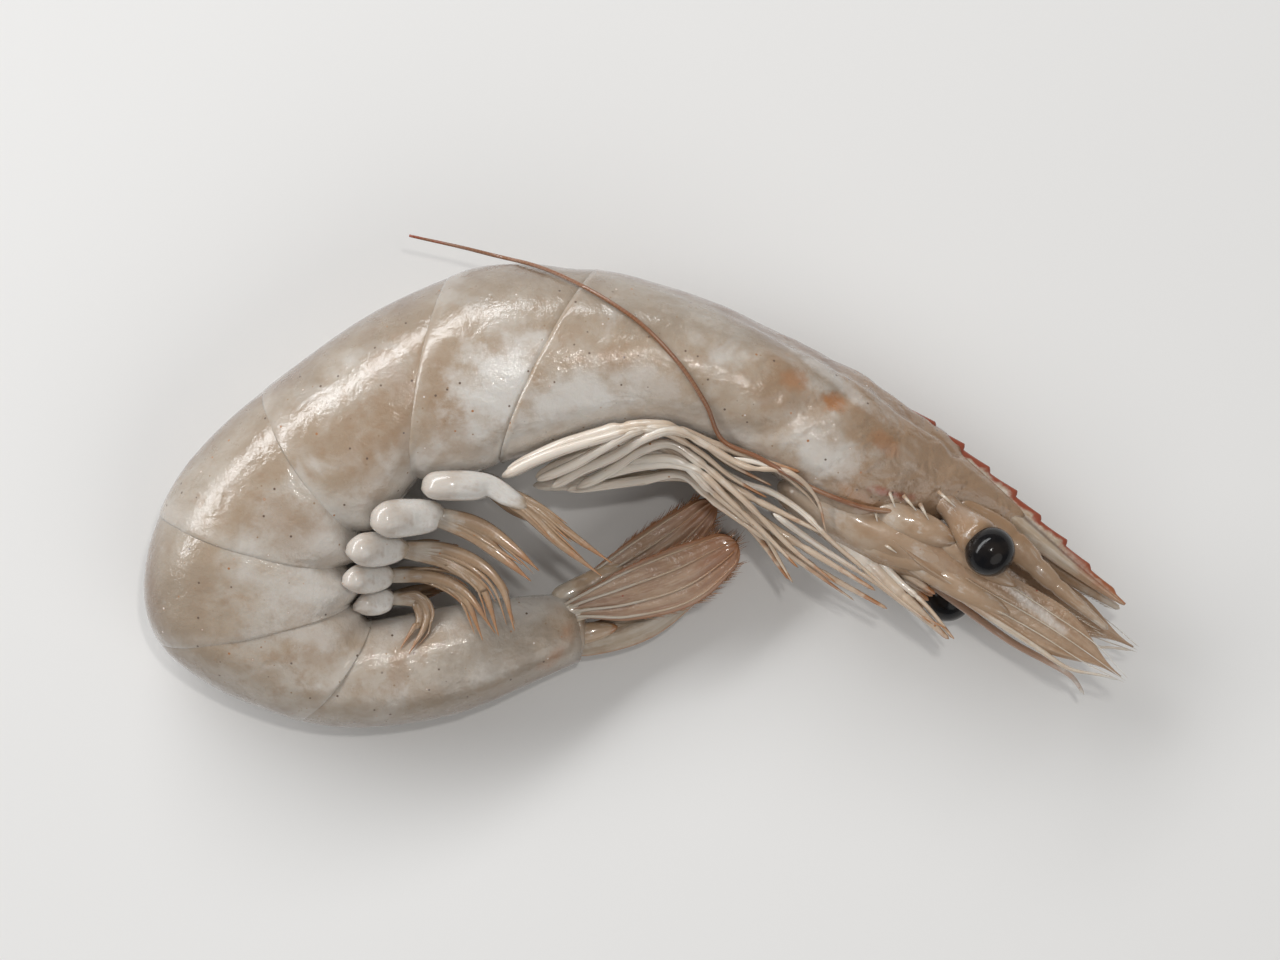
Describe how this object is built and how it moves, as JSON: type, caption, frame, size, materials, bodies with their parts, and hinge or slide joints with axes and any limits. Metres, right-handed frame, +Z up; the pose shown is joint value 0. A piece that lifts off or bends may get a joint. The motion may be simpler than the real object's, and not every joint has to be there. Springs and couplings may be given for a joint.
{
  "type": "raw tiger prawn",
  "caption": "Whole raw prawn in its shell, curled up and lying on its side, with head, legs, swimmerets and tail fan.",
  "frame": {"origin": "on the floor, under the middle of the prawn's bounding box", "axes": "+Z up from the left side it lies on to the right side it shows, +X towards the head, +Y towards the back"},
  "size_m": [0.0972, 0.048, 0.0196],
  "materials": {
    "shell": "glossy, wet",
    "eye_black": "glossy",
    "limb_flesh": "glossy, wet"
  },
  "bodies": {
    "root": {"carapace": "shell", "abdomen_1": "shell", "abdomen_2": "shell", "abdomen_3": "shell", "abdomen_4": "shell", "abdomen_5": "shell", "abdomen_6": "shell", "telson": "shell", "uropod_outer_right": "shell", "uropod_outer_left": "shell", "uropod_inner_right": "shell", "uropod_inner_left": "shell", "eye_right": "eye_black", "eye_left": "eye_black", "eyestalk_right": "limb_flesh", "eyestalk_left": "limb_flesh", "mouthparts": "limb_flesh", "antennal_scale_right": "limb_flesh", "antennal_scale_left": "limb_flesh", "antennule_right": "limb_flesh", "antennule_left": "limb_flesh", "antenna_right": "limb_flesh", "antenna_left": "limb_flesh", "maxilliped_right": "limb_flesh", "maxilliped_left": "limb_flesh", "leg_right_1": "limb_flesh", "leg_right_2": "limb_flesh", "leg_right_3": "limb_flesh", "leg_right_4": "limb_flesh", "leg_right_5": "limb_flesh", "leg_left_1": "limb_flesh", "leg_left_2": "limb_flesh", "leg_left_3": "limb_flesh", "leg_left_4": "limb_flesh", "leg_left_5": "limb_flesh", "swimmeret_right_1": "limb_flesh", "swimmeret_right_2": "limb_flesh", "swimmeret_right_3": "limb_flesh", "swimmeret_right_4": "limb_flesh", "swimmeret_right_5": "limb_flesh", "swimmeret_left_1": "limb_flesh", "swimmeret_left_2": "limb_flesh", "swimmeret_left_3": "limb_flesh", "swimmeret_left_4": "limb_flesh", "swimmeret_left_5": "limb_flesh"}
  },
  "joints": []
}
